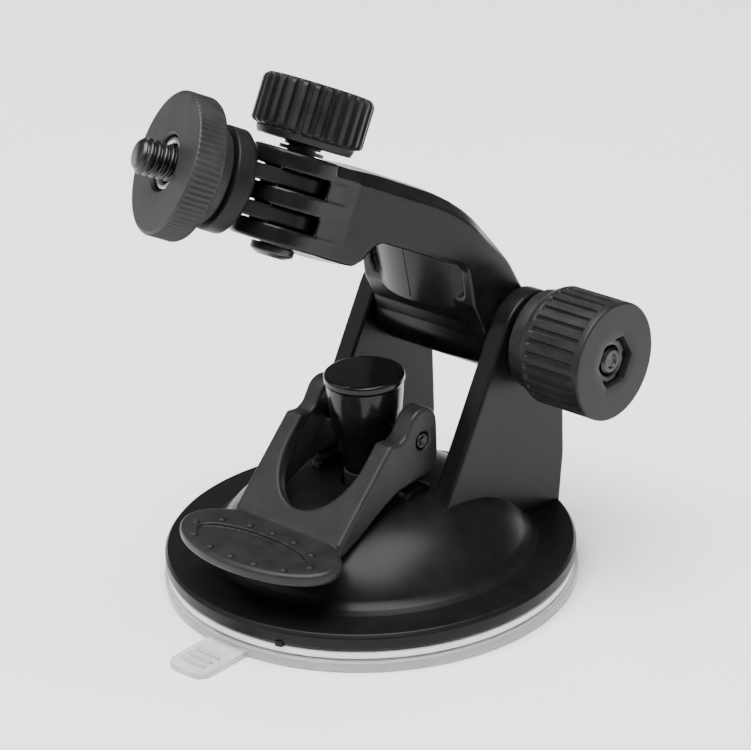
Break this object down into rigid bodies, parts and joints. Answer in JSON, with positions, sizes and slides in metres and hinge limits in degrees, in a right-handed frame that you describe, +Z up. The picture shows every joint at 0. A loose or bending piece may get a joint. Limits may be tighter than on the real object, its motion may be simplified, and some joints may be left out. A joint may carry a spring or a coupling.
{
  "type": "suction-cup windscreen mount for a dash camera",
  "caption": "Suction-cup windscreen mount for a dash camera: cup with release lever, tilting arm, panning fork adapter with a camera screw and its locking wheel.",
  "frame": {"origin": "the suction cup's axis at the underside of the protective cover", "axes": "+Z up along the suction cup's axis, -Y towards the release lever, +X towards the tilt knob"},
  "size_m": [0.0756, 0.0866, 0.1],
  "materials": {
    "clear_film": "clear gloss",
    "clear_gel": "clear gloss",
    "gloss_black": "gloss",
    "satin_black": "satin",
    "knob_black": "satin",
    "wheel_grey": "satin",
    "steel": "satin",
    "black_steel": "semi-gloss"
  },
  "bodies": {
    "cup": {"cup_base": "gloss_black", "suction_pad": "clear_gel", "protective_cover": "clear_film", "return_spring": "steel", "tilt_bolt": "black_steel", "tilt_washer": "black_steel"},
    "stem": {"stem_insert": "satin_black", "release_post": "gloss_black", "lever_pin": "black_steel"},
    "lever": {"release_lever": "satin_black"},
    "arm": {"arm": "gloss_black", "fork_bolt": "black_steel", "fork_washer": "black_steel"},
    "tilt_knob": {"tilt_knob": "knob_black", "tilt_knob_nut": "black_steel"},
    "fork_knob": {"fork_knob": "knob_black", "fork_knob_nut": "black_steel"},
    "adapter": {"camera_adapter": "satin_black", "camera_screw": "black_steel"},
    "lock_wheel": {"lock_wheel": "wheel_grey", "wheel_insert": "steel"}
  },
  "joints": [
    {"name": "stem_slide", "type": "slide", "parent": "cup", "child": "stem", "axis": [0, 0, 1], "range_m": [-0.00201, 0], "deforming": ["return_spring", "suction_pad"]},
    {"name": "lever_lift", "type": "hinge", "parent": "stem", "child": "lever", "pos_m": [0, 0.0009, 0.0295], "axis": [-1, 0, 0], "range_deg": [0, 75]},
    {"name": "arm_tilt", "type": "hinge", "parent": "cup", "child": "arm", "pos_m": [0, 0.02605, 0.04225], "axis": [-1, 0, 0], "range_deg": [-45, 100]},
    {"name": "tilt_knob_turn", "type": "hinge", "parent": "cup", "child": "tilt_knob", "pos_m": [0.0289, 0.02605, 0.04225], "axis": [1, 0, 0], "continuous": true},
    {"name": "adapter_pan", "type": "hinge", "parent": "arm", "child": "adapter", "pos_m": [0, -0.01735, 0.07822], "axis": [0, 0.4772, 0.8788], "range_deg": [-15, 64]},
    {"name": "fork_knob_turn", "type": "hinge", "parent": "arm", "child": "fork_knob", "pos_m": [0, -0.01014, 0.09149], "axis": [0, 0.4772, 0.8788], "continuous": true},
    {"name": "lock_wheel_turn", "type": "hinge", "parent": "adapter", "child": "lock_wheel", "pos_m": [-0.00846, -0.03366, 0.08707], "axis": [-0.4147, -0.7997, 0.4342], "continuous": true}
  ],
  "couplings": [
    {"joint": "stem_slide", "follows": "lever_lift", "m_per_rad": -0.001528}
  ]
}
